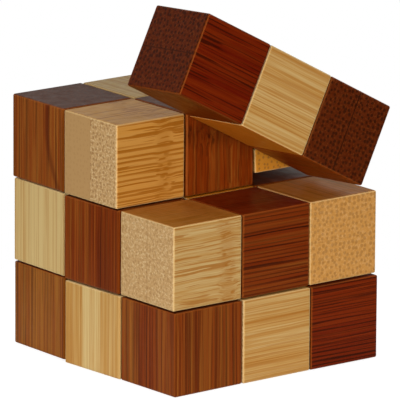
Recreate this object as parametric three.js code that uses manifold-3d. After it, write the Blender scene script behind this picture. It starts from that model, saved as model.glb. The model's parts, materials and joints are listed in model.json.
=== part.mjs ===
// Wooden snake cube: 27 small bamboo cubes threaded on one elastic cord, folded into a
// 3 x 3 x 3 stack. The first three cubes of the snake are swung up out of the top layer.
//
// Millimetres, +Z up. The origin is the centre of the bottom face of the stack's middle
// cube. X runs along the stack's right-hand front side and Y along its left-hand side.
import * as THREE from "three";
import { RoundedBoxGeometry } from "three/addons/geometries/RoundedBoxGeometry.js";
import { mergeVertices } from "three/addons/utils/BufferGeometryUtils.js";
import Module from "manifold-3d";

const wasm = await Module();
wasm.setup();

// ---- Driving dimensions ---------------------------------------------------------------
const SIDE = 20; // edge of one cube
const GAP = 0.3; // daylight between two cubes in the stack
const EDGE_RADIUS = 0.4; // sanded edges
const BORE_RADIUS = 3.2; // drilled hole for the cord
const MOUTH_CHAMFER = 0.5; // broken edge of each hole
const END_BORE_DEPTH = 16; // blind hole of an end cube
const CORD_RADIUS = 1.2; // stretched elastic cord
const CORD_BEND = 5; // bend radius of the cord in a corner cube
const SECTION_GAP = 0.3; // between one length of cord and the next

// Loose fold in the top layer
const BAR_TILT = THREE.MathUtils.degToRad(3.8); // top right-hand cubes, up at the front
const ROW_SWING = THREE.MathUtils.degToRad(28.6); // front row, up at its free end
const ROW_SLIP = new THREE.Vector3(0.8, -0.9, 1.1); // front row's slip on its neighbour

// ---- Worked out from them -------------------------------------------------------------
const PITCH = SIDE + GAP;
const HALF = SIDE / 2;
const EDGE_STEPS = 1;
const BORE_SIDES = 16;
const DRILL_POINT = THREE.MathUtils.degToRad(118);
const DRILL_TIP = BORE_RADIUS / Math.tan(DRILL_POINT / 2);
const CORD_SIDES = 8;
const CORD_STEP = 1.6;
const WELD = 1e-4; // corners this close are one corner

// The snake from its tail to its head. Each cell is the cube's place in the folded stack,
// counted 0 to 2 along X, Y and Z. A cube's nudge is how far it has slipped along X and Y,
// in mm, and its turn is how far it has twisted on the spot, in degrees.
const SNAKE = [
  { cell: [0, 0, 2], nudge: [0.3, -0.25], turn: -0.9 },
  { cell: [1, 0, 2], nudge: [0.15, -0.25] },
  { cell: [2, 0, 2], turn: 0.5 },
  { cell: [2, 1, 2] },
  { cell: [2, 2, 2] },
  { cell: [1, 2, 2], nudge: [0.1, 0.2] },
  { cell: [0, 2, 2], nudge: [0, 0.6], turn: -0.9 },
  { cell: [0, 2, 1], nudge: [0.3, 0.5], turn: -1.5 },
  { cell: [0, 2, 0], nudge: [0.5, 0.6], turn: -1.4 },
  { cell: [1, 2, 0], nudge: [0.5, 0.5] },
  { cell: [1, 2, 1], nudge: [0.4, 0.1] },
  { cell: [2, 2, 1], nudge: [0.3, 0.1] },
  { cell: [2, 1, 1] },
  { cell: [2, 0, 1], nudge: [0, -0.1] },
  { cell: [1, 0, 1], nudge: [0.1, -0.1], turn: 0.5 },
  { cell: [0, 0, 1], nudge: [0.2, -0.1] },
  { cell: [0, 0, 0], nudge: [0.1, -0.6], turn: 0.8 },
  { cell: [0, 1, 0], nudge: [-0.6, -0.4], turn: 2 },
  { cell: [0, 1, 1], nudge: [-0.5, 0.1], turn: 1.6 },
  { cell: [0, 1, 2], nudge: [-0.5, 0.2] },
  { cell: [1, 1, 2], nudge: [-0.3, 0.1] },
  { cell: [1, 1, 1] },
  { cell: [1, 1, 0] },
  { cell: [1, 0, 0], nudge: [0.1, -0.7], turn: 0.2 },
  { cell: [2, 0, 0], nudge: [0.1, -0.8], turn: -0.5 },
  { cell: [2, 1, 0], nudge: [0.3, 0] },
  { cell: [2, 2, 0], nudge: [0.3, 0] },
];

// Stretches of the snake that stay together in this fold, by cube number. One length of
// cord runs through each stretch, except that cube 2 can turn against both its neighbours
// and so holds a length for each.
const STRETCHES = [
  [1, 1], [3, 3], [4, 4], [5, 5], [6, 6], [7, 7], [8, 8], [9, 16],
  [17, 21], [22, 22], [23, 23], [24, 24], [25, 25], [26, 26], [27, 27],
];
const HALVED_CUBE = 2;

const ROW_CUBES = 3; // cubes 1 to 3 are the swung row
const BAR_CUBES = 5; // cubes 4 and 5 are the tilted bar

// ---- Materials ------------------------------------------------------------------------
const bamboo = (color) => new THREE.MeshStandardMaterial({ color, roughness: 0.45, metalness: 0 });
const MATERIALS = {
  dark: bamboo(0x74300f),
  light: bamboo(0xcb9a57),
  peg: bamboo(0xd9bd8a),
  cord: new THREE.MeshStandardMaterial({ color: 0xe9e4d8, roughness: 0.8, metalness: 0 }),
};

// ---- Small helpers --------------------------------------------------------------------
const number = (index) => String(index + 1).padStart(2, "0");
const centre = (cell) =>
  new THREE.Vector3((cell[0] - 1) * PITCH, (cell[1] - 1) * PITCH, HALF + cell[2] * PITCH);

// Unit step from cube a to cube b of the snake, or null past either end.
function step(a, b) {
  if (!SNAKE[a] || !SNAKE[b]) return null;
  return centre(SNAKE[b].cell).sub(centre(SNAKE[a].cell)).normalize();
}

function solid(geometry) {
  const bare = geometry.clone();
  bare.deleteAttribute("normal");
  bare.deleteAttribute("uv");
  const merged = mergeVertices(bare, WELD);
  return new wasm.Manifold(
    new wasm.Mesh({
      numProp: 3,
      vertProperties: new Float32Array(merged.attributes.position.array),
      triVerts: new Uint32Array(merged.index.array),
    }),
  );
}

function shape(manifold) {
  const mesh = manifold.getMesh();
  const geometry = new THREE.BufferGeometry();
  geometry.setAttribute("position", new THREE.BufferAttribute(mesh.vertProperties, 3));
  geometry.setIndex(new THREE.BufferAttribute(mesh.triVerts, 1));
  geometry.computeVertexNormals();
  return geometry;
}

// Turns a shape made along +Y to lie along a direction.
function along(geometry, direction) {
  const turn = new THREE.Quaternion().setFromUnitVectors(new THREE.Vector3(0, 1, 0), direction);
  return geometry.applyQuaternion(turn);
}

// ---- Cubes ----------------------------------------------------------------------------
// One drilled hole, entering at the face that the direction points to.
function drill(direction, depth) {
  const floor = HALF - depth;
  const profile = [
    [0, floor - DRILL_TIP],
    [BORE_RADIUS, floor],
    [BORE_RADIUS, HALF - MOUTH_CHAMFER],
    [BORE_RADIUS + 2 * MOUTH_CHAMFER, HALF + MOUTH_CHAMFER],
    [0, HALF + MOUTH_CHAMFER],
  ].map(([x, y]) => new THREE.Vector2(x, y));
  return solid(along(new THREE.LatheGeometry(profile, BORE_SIDES), direction));
}

// An end cube has one blind hole. Any other has two holes that meet at its middle.
function cubeGeometry(index) {
  const holes = [step(index, index - 1), step(index, index + 1)].filter(Boolean);
  const depth = holes.length === 1 ? END_BORE_DEPTH : HALF + BORE_RADIUS;
  let body = solid(new RoundedBoxGeometry(SIDE, SIDE, SIDE, EDGE_STEPS, EDGE_RADIUS));
  for (const direction of holes) body = body.subtract(drill(direction, depth));
  return shape(body);
}

function kind(index) {
  const before = step(index, index - 1);
  const after = step(index, index + 1);
  if (!before || !after) return "end";
  return before.dot(after) < 0 ? "straight" : "corner";
}

const wood = (index) => (index % 2 === 0 ? "dark" : "light");

function makeCube(index) {
  const { cell, nudge = [0, 0], turn = 0 } = SNAKE[index];
  const cube = new THREE.Mesh(cubeGeometry(index), MATERIALS[wood(index)]);
  cube.name = `cube_${number(index)}_${kind(index)}_${wood(index)}`;
  cube.position.copy(centre(cell)).add(new THREE.Vector3(...nudge, 0));
  cube.rotation.z = THREE.MathUtils.degToRad(turn);
  return cube;
}

// ---- Elastic cord ---------------------------------------------------------------------
// In an end cube the cord lies to one side of its hole, beside the peg that jams it.
const CORD_ASIDE = new THREE.Vector3(0, 0, 1.7);
const MOUTH_DEPTH = 2; // how far in the cord is still on the hole's axis
const ASIDE_DEPTH = 5;
const CORD_END_DEPTH = 13.5;

// Points that one length of cord runs through, with a flag for the ones that it rounds.
function cordRoute(first, last) {
  const reach = PITCH / 2 - SECTION_GAP / 2;
  const route = [];
  for (let index = first; index <= last; index++) {
    const middle = centre(SNAKE[index].cell);
    const before = step(index, index - 1);
    const after = step(index, index + 1);
    if (index === first && before) route.push(middle.clone().addScaledVector(before, reach));
    if (before && after) route.push(middle);
    else {
      const out = before ?? after;
      const into = [
        middle.clone().addScaledVector(out, HALF - MOUTH_DEPTH),
        middle.clone().addScaledVector(out, HALF - ASIDE_DEPTH).add(CORD_ASIDE),
        middle.clone().addScaledVector(out, HALF - CORD_END_DEPTH).add(CORD_ASIDE),
      ];
      route.push(...(before ? into : into.reverse()));
    }
    if (index === last && after) route.push(middle.clone().addScaledVector(after, reach));
  }
  return route;
}

// A path through the route's points, rounded at each one in between.
function cordPath(route) {
  const path = new THREE.CurvePath();
  const lead = (from, to) => {
    const run = to.clone().sub(from);
    return run.normalize().multiplyScalar(Math.min(CORD_BEND, from.distanceTo(to) / 2));
  };
  let start = route[0];
  for (let i = 1; i < route.length - 1; i++) {
    const enter = route[i].clone().add(lead(route[i], route[i - 1]));
    const leave = route[i].clone().add(lead(route[i], route[i + 1]));
    path.add(new THREE.LineCurve3(start, enter));
    path.add(new THREE.QuadraticBezierCurve3(enter, route[i], leave));
    start = leave;
  }
  path.add(new THREE.LineCurve3(start, route[route.length - 1]));
  return path;
}

// The half of a straight cube's cord on the side of one of its neighbours.
function halfRoute(index, neighbour) {
  const middle = centre(SNAKE[index].cell);
  const out = step(index, neighbour);
  return [SECTION_GAP / 2, (PITCH - SECTION_GAP) / 2].map((reach) =>
    middle.clone().addScaledVector(out, reach),
  );
}

function makeCord(name, route) {
  const path = cordPath(route);
  const section = new THREE.Shape();
  section.absarc(0, 0, CORD_RADIUS, 0, 2 * Math.PI);
  const geometry = new THREE.ExtrudeGeometry(section, {
    extrudePath: path,
    steps: Math.ceil(path.getLength() / CORD_STEP),
    curveSegments: CORD_SIDES / 2, // a full circle gets twice as many
  });
  const cord = new THREE.Mesh(geometry, MATERIALS.cord);
  cord.name = name;
  return cord;
}

function stretchName([first, last]) {
  const from = number(first - 1);
  return first === last ? `elastic_cube_${from}` : `elastic_cubes_${from}_to_${number(last - 1)}`;
}

// ---- Pegs -----------------------------------------------------------------------------
const PEG_LENGTH = 10;
const PEG_THIN = 1.2;
const PEG_THICK = 1.5;
const PEG_ASIDE = new THREE.Vector3(0, 0, -1.4);
const PEG_DEPTH = 10; // from the face to the middle of the peg
const PEG_SIDES = 12;

function makePeg(index) {
  const out = step(index, index - 1) ?? step(index, index + 1);
  const taper = new THREE.CylinderGeometry(PEG_THICK, PEG_THIN, PEG_LENGTH, PEG_SIDES);
  const peg = new THREE.Mesh(along(taper, out), MATERIALS.peg);
  peg.name = `peg_cube_${number(index)}`;
  peg.position.copy(centre(SNAKE[index].cell));
  peg.position.addScaledVector(out, HALF - PEG_DEPTH).add(PEG_ASIDE);
  return peg;
}

// ---- Assembly -------------------------------------------------------------------------
// A group whose contents turn about a point instead of about the origin.
function turnedGroup(pivot, slip = new THREE.Vector3()) {
  const outer = new THREE.Group();
  const inner = new THREE.Group();
  outer.position.copy(pivot).add(slip);
  inner.position.copy(pivot).negate();
  outer.add(inner);
  return { outer, inner };
}

const snakeCube = new THREE.Group();

const heel = centre([2, 2, 2]).add(new THREE.Vector3(0, HALF, -HALF)); // rear bottom edge
const bar = turnedGroup(heel);
bar.outer.rotation.x = -BAR_TILT;
snakeCube.add(bar.outer);

const row = turnedGroup(centre([2, 0, 2]), ROW_SLIP);
row.outer.rotation.y = ROW_SWING;
bar.inner.add(row.outer);

function home(cubeNumber) {
  if (cubeNumber <= ROW_CUBES) return row.inner;
  return cubeNumber <= BAR_CUBES ? bar.inner : snakeCube;
}

SNAKE.forEach((_, index) => home(index + 1).add(makeCube(index)));
for (const stretch of STRETCHES) {
  const route = cordRoute(stretch[0] - 1, stretch[1] - 1);
  const cord = makeCord(stretchName(stretch), route);
  // The cord leaves the bar in line with the slipped row, so that the row can swing about it.
  if (stretch[0] === ROW_CUBES + 1) cord.position.set(ROW_SLIP.x, 0, ROW_SLIP.z);
  home(stretch[0]).add(cord);
}
for (const neighbour of [HALVED_CUBE - 1, HALVED_CUBE + 1]) {
  const route = halfRoute(HALVED_CUBE - 1, neighbour - 1);
  const name = `elastic_cube_${number(HALVED_CUBE - 1)}_by_${number(neighbour - 1)}`;
  home(HALVED_CUBE).add(makeCord(name, route));
}
for (const index of [0, SNAKE.length - 1]) home(index + 1).add(makePeg(index));

export default snakeCube;
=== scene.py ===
"""Looks of the bamboo snake cube: its wood, its elastic cord, a pale floor, soft light and the camera."""
import json
import math

import bpy
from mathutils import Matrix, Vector


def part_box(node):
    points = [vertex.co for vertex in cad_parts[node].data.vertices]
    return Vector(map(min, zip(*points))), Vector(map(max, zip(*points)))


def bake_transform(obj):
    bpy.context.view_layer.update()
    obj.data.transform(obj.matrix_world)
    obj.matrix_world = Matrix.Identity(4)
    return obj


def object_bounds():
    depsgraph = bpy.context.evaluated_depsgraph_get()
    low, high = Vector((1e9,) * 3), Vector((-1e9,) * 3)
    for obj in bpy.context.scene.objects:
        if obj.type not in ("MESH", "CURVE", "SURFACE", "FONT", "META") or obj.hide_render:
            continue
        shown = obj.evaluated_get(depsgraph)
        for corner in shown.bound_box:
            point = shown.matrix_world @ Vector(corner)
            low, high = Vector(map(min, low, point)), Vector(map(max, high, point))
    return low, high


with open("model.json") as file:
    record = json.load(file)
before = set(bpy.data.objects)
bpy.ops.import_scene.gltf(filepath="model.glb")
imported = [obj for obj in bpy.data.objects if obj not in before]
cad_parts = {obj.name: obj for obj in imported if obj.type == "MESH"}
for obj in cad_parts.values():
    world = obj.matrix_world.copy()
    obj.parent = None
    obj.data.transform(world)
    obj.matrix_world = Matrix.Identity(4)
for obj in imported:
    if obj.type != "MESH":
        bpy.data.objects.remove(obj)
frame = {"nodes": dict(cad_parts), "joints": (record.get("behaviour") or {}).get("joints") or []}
cad_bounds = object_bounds()

# ---- Sizes and directions from the frame ----------------------------------------------
MM = 0.001
CUBES = sorted(name for name in frame["nodes"] if name.startswith("cube_"))
LAST_IN_ROW = 3  # cubes 1 to 3 are the raised row
LAST_IN_BAR = 5  # cubes 4 and 5 are the bar that it turns on
LEVEL_CUBE = CUBES[22]  # stands level, so its box is as high as its side is long
low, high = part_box(LEVEL_CUBE)
SIDE = high.z - low.z
JOINT_AXES = {joint["name"]: Vector(joint["axis"]).normalized() for joint in frame["joints"]}


def axes_of(x, y):
    """A cube's own X, Y and Z directions, from its first two."""
    x = x.normalized()
    z = x.cross(y).normalized()
    return {"X": x, "Y": z.cross(x), "Z": z}


STACK_AXES = axes_of(Vector((1, 0, 0)), Vector((0, 1, 0)))
BAR_AXES = axes_of(Vector((1, 0, 0)), -JOINT_AXES["pull_04_from_05"])
ROW_AXES = axes_of(-JOINT_AXES["pull_02_from_03"], -JOINT_AXES["pull_03_from_04"])


def middle(node):
    """The middle of a piece's box."""
    low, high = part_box(node)
    return (low + high) / 2


def cube_axes(number):
    """The own directions of a cube, by its number along the snake."""
    if number <= LAST_IN_ROW:
        return ROW_AXES
    return BAR_AXES if number <= LAST_IN_BAR else STACK_AXES


# From the middle of one cube to the middle of the next.
PITCH = abs(middle(CUBES[23]).x - middle(CUBES[24]).x)


# ---- Shader helpers -------------------------------------------------------------------
def linear(red, green, blue):
    """A colour given as 0 to 255 on screen, as the shader's own light values."""
    def channel(value):
        value /= 255
        return value / 12.92 if value <= 0.04045 else ((value + 0.055) / 1.055) ** 2.4
    return (channel(red), channel(green), channel(blue), 1.0)


class Shader:
    """Adds nodes to one material, so that a formula reads in the order it is worked out."""

    def __init__(self, name):
        self.material = bpy.data.materials.new(name)
        self.material.use_nodes = True
        self.tree = self.material.node_tree
        self.surface = self.tree.nodes["Principled BSDF"]

    def add(self, kind, values=None, **settings):
        """A new node. values go to its inputs and settings to the node itself."""
        node = self.tree.nodes.new(kind)
        for key, value in settings.items():
            setattr(node, key, value)
        for key, value in (values or {}).items():
            self.feed(node.inputs[key], value)
        return node

    def feed(self, socket, value):
        """Links another node's output to a socket, or sets a plain value on it."""
        if isinstance(value, bpy.types.NodeSocket):
            self.tree.links.new(value, socket)
        else:
            socket.default_value = value

    def math(self, operation, *values, clamp=False):
        node = self.add("ShaderNodeMath", dict(enumerate(values)), operation=operation, use_clamp=clamp)
        return node.outputs[0]

    def dot(self, vector, direction):
        node = self.add("ShaderNodeVectorMath", {0: vector, 1: direction}, operation="DOT_PRODUCT")
        return node.outputs["Value"]

    def vector(self, x, y, z):
        return self.add("ShaderNodeCombineXYZ", {0: x, 1: y, 2: z}).outputs[0]

    def noise(self, vector, scale=1.0, detail=2.0, roughness=0.5):
        node = self.add("ShaderNodeTexNoise", {
            "Vector": vector, "Scale": scale, "Detail": detail, "Roughness": roughness})
        return node.outputs[0]

    def smooth(self, value, start, end):
        """0 before start, 1 after end, smooth between. start may be above end."""
        node = self.add(
            "ShaderNodeMapRange",
            {"Value": value, "From Min": start, "From Max": end, "To Min": 0.0, "To Max": 1.0},
            interpolation_type="SMOOTHSTEP")
        return node.outputs[0]

    def swing(self, value, size):
        """A value from 0 to 1, as a push of up to half of size either way."""
        return self.math("MULTIPLY", self.math("SUBTRACT", value, 0.5), size)

    def mix(self, factor, first, second):
        """The first colour at factor 0 and the second at 1."""
        node = self.add("ShaderNodeMix", data_type="RGBA")
        self.feed(node.inputs[0], factor)
        self.feed(node.inputs[6], first)
        self.feed(node.inputs[7], second)
        return node.outputs[2]

    def tint(self, colour, where, strength, second):
        """A colour with some of a second one laid over it where a pattern is."""
        return self.mix(self.math("MULTIPLY", where, strength), colour, second)

    def ramp(self, value, *stops):
        """A colour that runs through stops of place and colour."""
        node = self.add("ShaderNodeValToRGB", {"Fac": value})
        points = node.color_ramp.elements
        while len(points) < len(stops):
            points.new(0.5)
        for point, (place, colour) in zip(points, stops):
            point.position = place
            point.color = colour
        return node.outputs[0]


# ---- Bamboo ---------------------------------------------------------------------------
# Its lengths are in mm.
# The colour laid on the tops is painted shade, tinted warm as by light reflected off the row above.
# The colour laid on the undersides is painted warm bounce light.
# The edge colour is partly wear, partly a painted highlight.
LIGHT = {
    "deep": linear(156, 98, 32), "body": linear(182, 136, 72), "pale": linear(200, 172, 116),
    "streak": linear(156, 92, 18), "end": linear(185, 147, 98), "dot": linear(128, 86, 42),
    "plain": linear(172, 134, 86), "edge": linear(222, 190, 134), "rich": linear(178, 100, 14),
    "speck": linear(214, 190, 146), "warm": linear(192, 122, 20), "painted_bounce_under": linear(196, 108, 8),
}
DARK = {
    "deep": linear(70, 12, 1), "body": linear(120, 46, 5), "pale": linear(148, 90, 30),
    "streak": linear(40, 4, 1), "end": linear(78, 24, 3), "dot": linear(34, 5, 1),
    "edge": linear(142, 72, 24), "rich": linear(110, 6, 1), "speck": linear(118, 58, 18),
    "warm": linear(100, 8, 1), "painted_bounce_under": linear(158, 66, 2),
}
OILED = (1.0, 0.4, 0.1, 1.0)  # the warm gloss of oiled wood
HALF_SIDE = SIDE / MM / 2
BUNDLE_PITCH = 1.3  # between the bamboo's fibre bundles
BUNDLE_SCATTER = 0.6  # 0 sets them in even rows and 1 at random
LINE_PITCH = 1.05  # between the hard lines on its sides
STRIP_JUMP = 37.0  # shifts each strip's pattern, so that it doesn't run on into the next
KNOT_REACH = 3.6  # from a knot's middle to where it ends
KNOT_CORE = 0.6  # from a knot's middle to where it begins to fade
KNOT_BEND = 2.6  # how far a knot bends the fibres
KNOT_SWAY = 6.0  # how far a knot's place varies across the cube
VEIN_REACH = 1.5  # from the middle of a vein to where it has faded
SEAM_REACH = 0.28  # from a glue line to where it has faded
DRIFT_ALONG = 0.09  # how fast the fibres wander along the cube, per mm
DRIFT_ACROSS = 0.16  # and across it
# Patterns drawn out along the fibres: how fine they are across them, how many mm they run,
# and how far they shift from cube to cube.
FINE_FIBRES = (2.6, 55.0, 3.1)
BROAD_BANDS = (0.55, 60.0, 1.3)
LINE_FINENESS = 2.6
LINE_SHIFT = 2.3
EDGE_WEAR_HIGHLIGHT_WIDTH = 0.42  # how far from a cube's faces its edges are painted pale: partly wear, partly a painted highlight
TURNED = (0.55, 0.85)  # a surface begins to face a direction, and fully does, at these cosines


class Bamboo(Shader):
    """Bamboo laminated from strips. USUAL_LOOK and LOOKS say what look holds."""

    def __init__(self, name, centre, axes, look, wood):
        super().__init__(name)
        self.look = look
        self.wood = wood
        self.up = axes["Z"]
        self.fibre = axes[look["fibre"]]
        self.stack = axes[look["stack"]]
        self.find_place(centre)
        self.find_strip()
        self.bend_fibres()
        self.find_bundles()
        self.find_fibres()
        self.find_speckle()
        self.is_end = self.smooth(self.math("ABSOLUTE", self.dot(self.normal, self.fibre)), *TURNED)
        self.paint()
        self.set_gloss()
        self.set_bump()

    def find_place(self, centre):
        """The place in the cube: along the fibres, across the strips, and the third way."""
        place = self.add("ShaderNodeTexCoord")
        self.normal = place.outputs["Normal"]
        away = {0: place.outputs["Object"], 1: centre}
        self.here = self.add("ShaderNodeVectorMath", away, operation="SUBTRACT").outputs[0]
        self.along = self.dot(self.here, self.fibre / MM)
        self.across = self.dot(self.here, self.stack / MM)
        self.beside = self.dot(self.here, self.fibre.cross(self.stack) / MM)

    def find_strip(self):
        """Which strip this is, how far across it, and a chance number of its own."""
        self.strip_width = 2 * HALF_SIDE / self.look["strips"]
        inside = HALF_SIDE - 0.1
        kept = self.math("MAXIMUM", self.math("MINIMUM", self.across, inside), -inside)
        place = self.math("DIVIDE", self.math("ADD", kept, HALF_SIDE), self.strip_width)
        self.strip = self.math("FLOOR", place)
        self.in_strip = self.math("FRACT", place)
        draw = {"W": self.math("ADD", self.strip, self.look["seed"] * 7.31)}
        self.chance = self.add("ShaderNodeTexWhiteNoise", draw, noise_dimensions="1D").outputs["Value"]
        self.jump = self.math("MULTIPLY", self.chance, STRIP_JUMP)

    def find_knot(self):
        """1 in the middle of a knot and 0 away from it. A knot lies unevenly across the cube."""
        unevenness = self.noise(self.vector(self.beside, self.across, self.look["seed"]), 0.25)
        offset = self.math("SUBTRACT", self.along, self.look["knot"] + KNOT_SWAY / 2)
        offset = self.math("ADD", offset, self.math("MULTIPLY", unevenness, KNOT_SWAY))
        return self.smooth(self.math("ABSOLUTE", offset), KNOT_REACH, KNOT_CORE)

    def bend_fibres(self):
        """The place across the fibres, which wander a little along the cube and more at a knot."""
        amount = self.look["wave"]
        if "knot" in self.look:
            self.knot = self.find_knot()
            amount = self.math("ADD", self.math("MULTIPLY", self.knot, KNOT_BEND), amount)
        place = self.vector(
            self.math("MULTIPLY", self.along, DRIFT_ALONG),
            self.math("MULTIPLY", self.across, DRIFT_ACROSS),
            self.math("ADD", self.math("MULTIPLY", self.beside, DRIFT_ACROSS), self.look["seed"]))
        noise = self.add("ShaderNodeTexNoise", {"Vector": place, "Scale": 1.0, "Detail": 1.0})
        push = self.add("ShaderNodeSeparateColor", {"Color": noise.outputs["Color"]}).outputs
        self.across_fibre = self.math("ADD", self.across, self.swing(push[0], amount))
        self.beside_fibre = self.math("ADD", self.beside, self.swing(push[1], amount))

    def find_bundles(self):
        """Fibre bundles: dots on the cut ends, streaks on the sides."""
        cell = self.vector(
            self.math("ADD", self.math("DIVIDE", self.across_fibre, BUNDLE_PITCH), self.jump),
            self.math("DIVIDE", self.beside_fibre, BUNDLE_PITCH), 0.0)
        from_middle = self.add(
            "ShaderNodeTexVoronoi", {"Vector": cell, "Scale": 1.0, "Randomness": BUNDLE_SCATTER},
            voronoi_dimensions="2D").outputs["Distance"]
        radius = self.math("ADD", self.math("MULTIPLY", self.in_strip, 0.1), self.look["bundle"])
        self.bundles = self.smooth(self.math("SUBTRACT", from_middle, radius), 0.14, -0.06)

    def stretched(self, fineness, length, shift):
        """A place for a noise that is drawn out along the fibres."""
        return self.vector(
            self.math("ADD", self.math("MULTIPLY", self.across_fibre, fineness), self.jump),
            self.math("MULTIPLY", self.beside_fibre, fineness),
            self.math("ADD", self.math("DIVIDE", self.along, length), self.look["seed"] * shift))

    def find_fibres(self):
        """Fine fibres, broad bands, and lines that fade in and out along the fibres."""
        self.fine = self.noise(self.stretched(*FINE_FIBRES), detail=3.0, roughness=0.65)
        self.bands = self.noise(self.stretched(*BROAD_BANDS), detail=1.0)
        lines = self.noise(self.stretched(LINE_FINENESS, self.look["run"], LINE_SHIFT), detail=0.0)
        self.lines = self.smooth(lines, 0.58, 0.66)

    def ruled_lines(self):
        """Hard fibres cut lengthwise: dark lines at an even pitch, stronger in some places."""
        count = self.math("DIVIDE", self.math("ADD", self.across_fibre, self.beside_fibre), LINE_PITCH)
        count = self.math("ADD", count, self.math("MULTIPLY", self.bands, 1.5))
        wave = self.math("SINE", self.math("MULTIPLY", count, math.tau))
        return self.math("MULTIPLY", self.smooth(wave, 0.2, 0.9), self.smooth(self.bands, 0.9, 0.2))

    def find_speckle(self):
        """The coarse grit of the cut ends."""
        place = self.vector(self.across_fibre, self.beside_fibre, self.look["seed"])
        self.speckle = self.noise(place, 2.0, detail=2.0, roughness=0.7)

    def facing(self, direction, sign=1):
        """1 where the surface faces a direction, or away from it where sign is -1."""
        begin, full = TURNED
        return self.smooth(self.dot(self.normal, direction), sign * begin, sign * full)

    def side_colour(self):
        look, wood = self.look, self.wood
        tone = self.math("ADD", look["tone"], self.swing(self.fine, look["fine"]))
        tone = self.math("ADD", tone, self.swing(self.bands, 0.5))
        tone = self.math("ADD", tone, self.swing(self.chance, look["strip_tone"]))
        side = self.ramp(tone, (0.0, wood["deep"]), (0.5, wood["body"]), (1.0, wood["pale"]))
        if "warm" in look:
            side = self.mix(look["warm"], side, wood["warm"])
        if "top" in look:
            # Painted shade on the top face, tinted warm as by light reflected off the row above.
            side = self.tint(side, self.facing(self.up), look["top"], wood["rich"])
        if "painted_bounce_under" in look:
            # Painted warm bounce light on the underside, lighter and redder as if lit by light thrown
            # back from the floor and the wood below.
            side = self.tint(side, self.facing(self.up, -1), look["painted_bounce_under"], wood["painted_bounce_under"])
        side = self.tint(side, self.bundles, look["streaks"], wood["streak"])
        side = self.tint(side, self.lines, look["lines"], wood["streak"])
        if "ruled" in look:
            side = self.tint(side, self.ruled_lines(), look["ruled"], wood["streak"])
        if "knot" in look:
            side = self.tint(side, self.knot, 0.3, wood["streak"])
            side = self.tint(side, self.knot_eyes(), 0.8, wood["streak"])
        if "vein" in look:
            side = self.tint(side, self.vein(), 0.5, wood["deep"])
        return side

    def knot_eyes(self):
        """The small dark eyes inside a knot."""
        place = self.vector(self.math("DIVIDE", self.along, 1.8), self.across_fibre, self.beside_fibre)
        eyes = self.add("ShaderNodeTexVoronoi", {"Vector": place, "Scale": 0.55}).outputs["Distance"]
        return self.math("MULTIPLY", self.smooth(eyes, 0.34, 0.18), self.knot)

    def vein(self):
        """A dark curve along a side. look gives its start across the strips, its lean and its bow."""
        start, lean, bow = self.look["vein"]
        path = self.math("MULTIPLY", self.math("MULTIPLY", self.along, self.along), bow)
        path = self.math("ADD", path, self.math("MULTIPLY", self.along, lean))
        aside = self.math("SUBTRACT", self.math("SUBTRACT", self.across, start), path)
        return self.smooth(self.math("ABSOLUTE", aside), VEIN_REACH, 0.1)

    def end_colour(self):
        """One strip may be cut so close to the stalk's rind that it shows few dots."""
        look, wood = self.look, self.wood
        end = self.tint(wood["end"], self.smooth(self.speckle, 0.5, 0.7), look["grit"], wood["speck"])
        end = self.tint(end, self.smooth(self.speckle, 0.5, 0.3), look["grit"] * 0.6, wood["dot"])
        if "end_warm" in look:
            end = self.mix(look["end_warm"], end, wood["warm"])
        dots = look["dots"]
        if "plain" in look:
            is_plain = self.math("COMPARE", self.strip, look["plain"], 0.5)
            end = self.mix(is_plain, end, wood["plain"])
            dots = self.math("MULTIPLY", self.math("SUBTRACT", 1.3, is_plain), dots)
        return self.tint(end, self.bundles, dots, wood["dot"])

    def seam(self):
        """The glue line between two strips."""
        from_middle = self.math("ABSOLUTE", self.math("SUBTRACT", self.in_strip, 0.5))
        from_seam = self.math("MULTIPLY", self.math("SUBTRACT", 0.5, from_middle), self.strip_width)
        return self.smooth(from_seam, SEAM_REACH, 0.04)

    def edges(self):
        """0 on a face, a half along an edge, where two faces are near, and 1 at a corner. It lays the
        pale edges: partly wear, partly a painted highlight.
        """
        near_faces = -1.0
        for value in (self.along, self.across, self.beside):
            near = self.smooth(self.math("ABSOLUTE", value), HALF_SIDE - EDGE_WEAR_HIGHLIGHT_WIDTH, HALF_SIDE - 0.1)
            near_faces = self.math("ADD", near, near_faces)
        return self.math("MULTIPLY", near_faces, 0.5, clamp=True)

    def paint(self):
        colour = self.mix(self.is_end, self.side_colour(), self.end_colour())
        colour = self.tint(colour, self.seam(), self.look["seam"], self.wood["dot"])
        # Pale edges: partly wear, partly a painted highlight along the rounded edges.
        colour = self.tint(colour, self.edges(), self.look["worn_and_highlit"], self.wood["edge"])
        self.feed(self.surface.inputs["Base Color"], colour)

    def set_gloss(self):
        """Paler fibres and cut ends are duller, and the oil has dried unevenly."""
        self.surface.inputs["Specular Tint"].default_value = OILED
        self.surface.inputs["Specular IOR Level"].default_value = self.look["shine"]
        rough = self.math("ADD", self.math("MULTIPLY", self.fine, 0.16), 0.34)
        rough = self.math("ADD", rough, self.math("MULTIPLY", self.is_end, 0.06))
        mottle = self.noise(self.here, 0.4 / MM, detail=3.0)
        rough = self.math("ADD", rough, self.swing(mottle, 0.3))
        self.feed(self.surface.inputs["Roughness"], rough)

    def set_bump(self):
        """Fine fibres stand up a little, bundles lie a little deep, and cut ends are rough."""
        height = self.math("MULTIPLY", self.fine, 0.6)
        height = self.math("SUBTRACT", height, self.math("MULTIPLY", self.bundles, 0.5))
        height = self.math("ADD", height, self.math("MULTIPLY", self.speckle, self.is_end))
        bump = self.add("ShaderNodeBump", {"Height": height, "Strength": 0.25, "Distance": 0.06 * MM})
        self.feed(self.surface.inputs["Normal"], bump.outputs[0])


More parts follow.
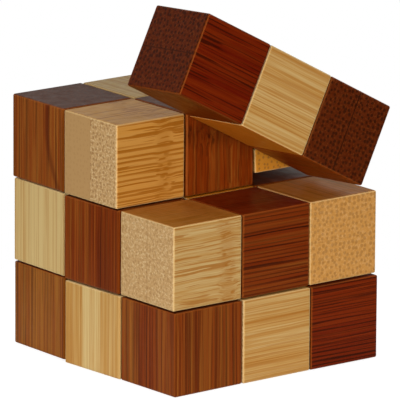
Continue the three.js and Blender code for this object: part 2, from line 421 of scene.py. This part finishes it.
# What a cube's look is where LOOKS doesn't say otherwise.
USUAL_LOOK = {
    "wave": 0.25,  # mm by which the fibres wander
    "fine": 1.5,  # strength of the fine fibres
    "strip_tone": 0.15,  # how much the strips differ
    "streaks": 0.3,  # darkness of the bundles on the sides
    "lines": 0.4,  # darkness of the fading lines
    "run": 50.0,  # mm that a fading line runs
    "bundle": 0.16,  # radius of a bundle, as a share of their pitch
    "dots": 0.5,  # darkness of the bundles on the ends
    "grit": 0.6,  # strength of the ends' speckle
    "seam": 0.12,  # darkness of the glue lines
    "worn_and_highlit": 1.0,  # how pale the edges are painted: partly wear, partly a painted highlight
    "shine": 0.4,  # strength of the gloss
}
# How each cube's bamboo differs, by its number along the snake. fibre is the way its fibres
# run and stack the way its strips are glued, both in the folded stack. tone runs from 0, deep,
# to 1, pale. ruled is the darkness of the evenly pitched lines, and knot is where along the
# fibres a knot lies, in mm. warm and end_warm colour the sides and the ends by that share. The
# share for the top lays painted shade there, tinted warm as by light reflected off the row
# above, and the share for the underside lays painted warm bounce light there. plain, on a
# light cube, is the strip with few dots, counted from 0. vein is described where it is drawn.
LOOKS = {
    1: dict(
        fibre="X", stack="Z", strips=2, tone=0.25, lines=0.8, streaks=0.2, seam=0.6, dots=0.7, bundle=0.2,
        grit=0.4, warm=0.45, fine=1.1, painted_bounce_under=0.85, shine=0.2),
    2: dict(fibre="X", stack="Y", strips=2, tone=0.6, lines=0.4, streaks=0.1, ruled=0.5, painted_bounce_under=0.9),
    3: dict(
        fibre="Y", stack="X", strips=2, tone=0.3, lines=0.4, streaks=0.5, seam=0.9, dots=0.75, bundle=0.2,
        painted_bounce_under=0.4, grit=0.4, warm=0.2),
    4: dict(fibre="Y", stack="Z", strips=2, tone=0.4, dots=0.7, end_warm=0.9),
    5: dict(fibre="Z", stack="X", strips=2, tone=0.4),
    6: dict(fibre="Y", stack="X", strips=3, tone=0.6),
    7: dict(
        fibre="Z", stack="Y", strips=3, tone=0.6, lines=0.5, strip_tone=0.3, vein=(-4.0, 0.22, -0.02)),
    8: dict(fibre="Z", stack="Y", strips=3, tone=0.95, lines=0.3, streaks=0.15, fine=1.1),
    9: dict(fibre="Z", stack="Y", strips=3, tone=0.85, lines=0.3, streaks=0.3, ruled=0.4, fine=1.2),
    10: dict(fibre="X", stack="Z", strips=3, tone=0.5),
    11: dict(fibre="X", stack="Y", strips=2, tone=0.4, lines=0.5),
    12: dict(fibre="Z", stack="X", strips=3, tone=0.5, knot=4),
    13: dict(fibre="Y", stack="Z", strips=2, tone=0.4, lines=0.7),
    14: dict(
        fibre="Y", stack="Z", strips=2, tone=0.4, dots=0.42, bundle=0.22, end_warm=0.55, top=0.8,
        streaks=0.9, lines=1.0, shine=0.15),
    15: dict(
        fibre="X", stack="Y", strips=2, tone=0.55, lines=0.2, streaks=0.1, ruled=1.0, top=0.6, warm=0.25,
        fine=0.9, wave=0.1),
    16: dict(
        fibre="X", stack="Y", strips=2, tone=0.75, streaks=0.15, lines=0.75, knot=6, wave=0.9, run=24.0,
        dots=0.3, grit=0.65, seam=0.3, top=0.75, shine=0.2),
    17: dict(fibre="Z", stack="Y", strips=3, tone=0.6, lines=0.4, streaks=0.3, ruled=0.5, fine=1.2),
    18: dict(fibre="Z", stack="Y", strips=3, tone=0.65, streaks=0.1, lines=0.35, strip_tone=0.5),
    19: dict(fibre="Z", stack="Y", strips=2, tone=0.5, lines=0.3, streaks=0.3, ruled=0.5),
    20: dict(
        fibre="X", stack="Y", strips=2, tone=0.95, streaks=0.9, lines=1.0, knot=4, wave=0.4, run=24.0,
        warm=0.75, dots=0.4, plain=1.0, grit=0.8),
    21: dict(fibre="Z", stack="X", strips=2, tone=0.55, lines=0.4, knot=4, wave=1.2, warm=0.1, fine=1.1),
    # Painted shade: this cube is darkened all over, with its top shaded and its edges left unpaled, so
    # that the thin strip of its top showing under the cube above reads as in shadow.
    22: dict(fibre="X", stack="Y", strips=2, tone=0.2, worn_and_highlit=0.0, top=1.0),
    23: dict(fibre="X", stack="Y", strips=2, tone=0.4, lines=0.5),
    24: dict(fibre="X", stack="Y", strips=2, tone=0.6, lines=0.4, streaks=0.1, ruled=0.6),
    25: dict(
        fibre="X", stack="Z", strips=2, tone=0.35, lines=0.7, streaks=0.1, ruled=1.0, warm=0.5, fine=0.8,
        wave=0.1, shine=0.3),
    26: dict(fibre="Y", stack="X", strips=3, tone=0.5, lines=0.3),
    27: dict(fibre="Z", stack="X", strips=2, tone=0.4, lines=0.6),
}


def finish_cube(name):
    number = int(name.split("_")[1])
    wood = DARK if name.endswith("dark") else LIGHT
    look = {"seed": number * 1.7, **USUAL_LOOK, **LOOKS[number]}
    shader = Bamboo(f"bamboo_{number:02d}", middle(name), cube_axes(number), look, wood)
    piece = frame["nodes"][name]
    piece.data.materials.clear()
    piece.data.materials.append(shader.material)


for name in CUBES:
    finish_cube(name)


# ---- Elastic cord and pegs ------------------------------------------------------------
CORD_RADIUS = 0.0625 * SIDE  # a little over the cord's own, so that it covers the joins
CORD_OVERLAP = 0.3 * SIDE  # how far a crossing length reaches into each cube
CORD_RINGS = 24
CORD_SIDES = 24
THREAD = 0.45  # mm between the threads of the cord's woven cover


def woven_cover():
    shader = Shader("woven_cover")
    place = shader.add("ShaderNodeTexCoord").outputs["Object"]
    threads = shader.add("ShaderNodeTexVoronoi", {"Vector": place, "Scale": 1 / (THREAD * MM)})
    gap = shader.smooth(threads.outputs["Distance"], 0.3, 0.7)
    dirt = shader.noise(place, 1 / (4 * MM))
    colour = shader.tint(linear(232, 226, 212), dirt, 0.5, linear(206, 198, 180))
    colour = shader.tint(colour, gap, 0.6, linear(150, 140, 122))
    rough = shader.math("ADD", shader.math("MULTIPLY", dirt, 0.2), 0.7)
    shader.feed(shader.surface.inputs["Base Color"], colour)
    shader.feed(shader.surface.inputs["Roughness"], rough)
    bump = shader.add("ShaderNodeBump", {"Height": gap, "Strength": 0.6, "Distance": 0.1 * MM})
    bump.invert = True
    shader.feed(shader.surface.inputs["Normal"], bump.outputs[0])
    return shader.material


def peg_wood():
    shader = Shader("peg_wood")
    place = shader.add("ShaderNodeTexCoord").outputs["Object"]
    grain = shader.noise(place, 1 / (1.2 * MM), detail=4.0, roughness=0.7)
    colour = shader.mix(grain, linear(226, 200, 152), linear(180, 142, 88))
    rough = shader.math("ADD", shader.math("MULTIPLY", grain, 0.3), 0.5)
    shader.feed(shader.surface.inputs["Base Color"], colour)
    shader.feed(shader.surface.inputs["Roughness"], rough)
    bump = shader.add("ShaderNodeBump", {"Height": grain, "Strength": 0.3, "Distance": 0.05 * MM})
    shader.feed(shader.surface.inputs["Normal"], bump.outputs[0])
    return shader.material


TWIST = next(joint for joint in frame["joints"] if joint["name"] == "twist_02_on_03")


def on_cord(number):
    """The point of the cord that is in the middle of a cube."""
    point = middle(CUBES[number - 1])
    if number <= LAST_IN_ROW:
        start, way = Vector(TWIST["pos_m"]), JOINT_AXES["twist_02_on_03"]
        return start + way * way.dot(point - start)
    if number <= LAST_IN_BAR:
        return point
    cell = [round(point.x / PITCH), round(point.y / PITCH), round((point.z - SIDE / 2) / PITCH)]
    return Vector(cell) * PITCH + Vector((0, 0, SIDE / 2))


def crossing_cord(joint, cover):
    """The length of cord that crosses a joint, reaching into both of its cubes and cut into rings along
    its length.
    """
    child, parent = [int(word) for word in joint["name"].split("_") if word.isdigit()]
    way = JOINT_AXES[joint["name"]]
    gate = on_cord(child) - way * PITCH / 2
    bpy.ops.mesh.primitive_cylinder_add(
        vertices=CORD_SIDES, radius=CORD_RADIUS, depth=2 * CORD_OVERLAP, location=gate,
        rotation=way.to_track_quat("Z", "Y").to_euler())
    cord = bpy.context.object
    cord.name = f"cord_{child:02d}_from_{parent:02d}"
    cord.data.materials.append(cover)
    bpy.ops.object.mode_set(mode="EDIT")
    for ring in range(1, CORD_RINGS):
        bpy.ops.mesh.select_all(action="SELECT")
        bpy.ops.mesh.bisect(
            plane_co=gate + way * CORD_OVERLAP * (2 * ring / CORD_RINGS - 1), plane_no=way)
    bpy.ops.object.mode_set(mode="OBJECT")
    bpy.ops.object.shade_smooth()
    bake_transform(cord)


COVER = woven_cover()
PEG = peg_wood()
for name, piece in frame["nodes"].items():
    if name.startswith("cube_"):
        continue
    piece.data.materials.clear()
    piece.data.materials.append(PEG if name.startswith("peg_") else COVER)
for joint in frame["joints"]:
    if joint["type"] == "slide":
        crossing_cord(joint, COVER)


# ---- Stage, light and camera ----------------------------------------------------------
FLOOR_RADIUS = 4.5 * SIDE
FLOOR_DROP = 0.1 * MM  # keeps the floor clear of the lowest cubes
FLOOR_GLOW = 0.1  # what the floor gives off
FLOOR_GLOW_SEEN = 0.7  # and what the camera sees on top of that
WHITE = (1, 1, 1, 1)


def make_floor():
    """A pale floor that reads white to the camera and lights the object only a little."""
    shader = Shader("floor")
    grain = shader.noise(shader.add("ShaderNodeTexCoord").outputs["Object"], 40.0)
    colour = shader.mix(grain, linear(176, 176, 176), linear(168, 168, 168))
    shader.feed(shader.surface.inputs["Base Color"], colour)
    shader.surface.inputs["Emission Color"].default_value = WHITE
    seen = shader.add("ShaderNodeLightPath").outputs["Is Camera Ray"]
    glow = shader.math("ADD", shader.math("MULTIPLY", seen, FLOOR_GLOW_SEEN), FLOOR_GLOW)
    shader.feed(shader.surface.inputs["Emission Strength"], glow)
    shader.surface.inputs["Roughness"].default_value = 0.9
    bpy.ops.mesh.primitive_circle_add(
        vertices=96, radius=FLOOR_RADIUS, fill_type="NGON",
        location=(0, 0, cad_bounds[0][2] - FLOOR_DROP))
    floor = bpy.context.object
    floor.name = "floor"
    floor.data.materials.append(shader.material)


def make_world():
    """White behind the object, and a dimmer grey that lights it and shows in its gloss."""
    world = bpy.data.worlds.new("studio")
    world.use_nodes = True
    nodes, links = world.node_tree.nodes, world.node_tree.links
    nodes.clear()
    fill = nodes.new("ShaderNodeBackground")
    fill.inputs["Color"].default_value = (0.9, 1.0, 0.98, 1)
    backdrop = nodes.new("ShaderNodeBackground")
    backdrop.inputs["Color"].default_value = WHITE
    # The studio is brightest high up on its far side, and that shows in the tops' gloss.
    way = nodes.new("ShaderNodeTexCoord")
    far = nodes.new("ShaderNodeVectorMath")
    far.operation = "DOT_PRODUCT"
    far.inputs[1].default_value = look_direction(CAMERA_AZIMUTH, -45)
    level = nodes.new("ShaderNodeMapRange")
    level.inputs["From Min"].default_value = 0.0
    level.inputs["From Max"].default_value = 0.8
    level.inputs["To Min"].default_value = 0.05
    level.inputs["To Max"].default_value = 0.55
    links.new(way.outputs["Generated"], far.inputs[0])
    links.new(far.outputs["Value"], level.inputs["Value"])
    links.new(level.outputs[0], fill.inputs["Strength"])
    ray = nodes.new("ShaderNodeLightPath")
    either = nodes.new("ShaderNodeMixShader")
    out = nodes.new("ShaderNodeOutputWorld")
    links.new(ray.outputs["Is Camera Ray"], either.inputs[0])
    links.new(fill.outputs[0], either.inputs[1])
    links.new(backdrop.outputs[0], either.inputs[2])
    links.new(either.outputs[0], out.inputs[0])
    bpy.context.scene.world = world


def make_light(name, azimuth, elevation, distance, size, power):
    """A square soft light that faces the object. azimuth is counted as the camera's is."""
    light = bpy.data.lights.new(name, "AREA")
    light.size = size
    light.energy = power
    lamp = bpy.data.objects.new(name, light)
    bpy.context.scene.collection.objects.link(lamp)
    look = look_direction(azimuth, elevation)
    lamp.location = AIM - look * distance
    lamp.rotation_euler = look.to_track_quat("-Z", "Y").to_euler()
    return lamp


def look_direction(azimuth, elevation):
    """The way something looks that stands at an azimuth round from the front, up by an elevation."""
    turn, rise = math.radians(azimuth), math.radians(elevation)
    return Vector((math.sin(turn) * math.cos(rise), math.cos(turn) * math.cos(rise), -math.sin(rise)))


# The camera stands far off with a long lens, so that parallel edges stay nearly parallel.
AIM = Vector((0.103, 0.027, 1.802)) * SIDE
CAMERA_AZIMUTH = 38.47
CAMERA_ELEVATION = 13.74
CAMERA_ROLL = 0.35
CAMERA_DISTANCE = 79.2 * SIDE
CAMERA_LENS = 605.9

# Each light's name, degrees round from the camera and up, distance and size in cube sides,
# watts, and whether it shows in the gloss. The last two only light the far sides.
LIGHTS = (
    ("key", 32, 12, 30, 18, 2.9, True),
    ("front", -25, 10, 34, 16, 3.1, True),
    ("side", -120, 5, 30, 18, 1.7, False),
    ("back", 150, 5, 30, 18, 1.7, False),
)


def make_camera():
    camera = bpy.data.cameras.new("camera")
    camera.sensor_width = 36
    camera.lens = CAMERA_LENS
    camera.clip_end = 100
    mount = bpy.data.objects.new("camera", camera)
    bpy.context.scene.collection.objects.link(mount)
    look = look_direction(CAMERA_AZIMUTH, CAMERA_ELEVATION)
    mount.location = AIM - look * CAMERA_DISTANCE
    turn = look.to_track_quat("-Z", "Y")
    mount.rotation_euler = turn.to_euler()
    mount.rotation_euler.rotate_axis("Z", math.radians(CAMERA_ROLL))
    bpy.context.scene.camera = mount


make_camera()
make_world()
make_floor()
for name, turn, elevation, distance, size, power, in_gloss in LIGHTS:
    lamp = make_light(name, CAMERA_AZIMUTH + turn, elevation, distance * SIDE, size * SIDE, power)
    lamp.visible_glossy = in_gloss
bpy.context.scene.view_settings.view_transform = "Standard"
